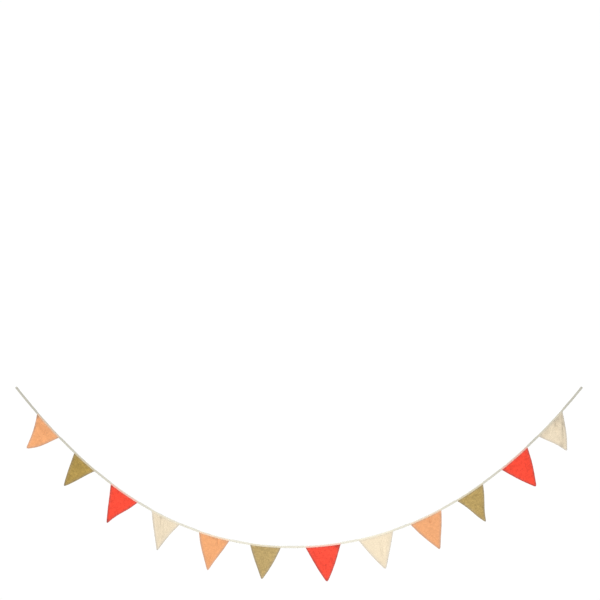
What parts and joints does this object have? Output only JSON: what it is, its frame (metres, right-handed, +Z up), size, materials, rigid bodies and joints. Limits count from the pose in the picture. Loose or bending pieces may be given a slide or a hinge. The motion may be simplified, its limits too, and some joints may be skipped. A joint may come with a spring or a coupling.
{
  "type": "fabric bunting",
  "caption": "Hanging bunting of plain cloth triangular pennants in peach, olive, coral red and cream, held in a folded off-white cotton tape with bare tie ends.",
  "frame": {"origin": "the left tied end of the tape, at the middle of its width", "axes": "+X along the straight span to the right tied end, +Y away from the viewer through the cloth, +Z up"},
  "size_m": [2.5278, 0.0373, 0.8701],
  "materials": {
    "tape_cotton": "matte",
    "peach_cloth": "matte",
    "olive_cloth": "matte",
    "coral_cloth": "matte",
    "cream_cloth": "matte"
  },
  "bodies": {
    "root": {"tape": "tape_cotton", "pennant_01_peach": "peach_cloth", "pennant_02_olive": "olive_cloth", "pennant_03_coral": "coral_cloth", "pennant_04_cream": "cream_cloth", "pennant_05_peach": "peach_cloth", "pennant_06_olive": "olive_cloth", "pennant_07_coral": "coral_cloth", "pennant_08_cream": "cream_cloth", "pennant_09_peach": "peach_cloth", "pennant_10_olive": "olive_cloth", "pennant_11_coral": "coral_cloth", "pennant_12_cream": "cream_cloth"}
  },
  "joints": []
}
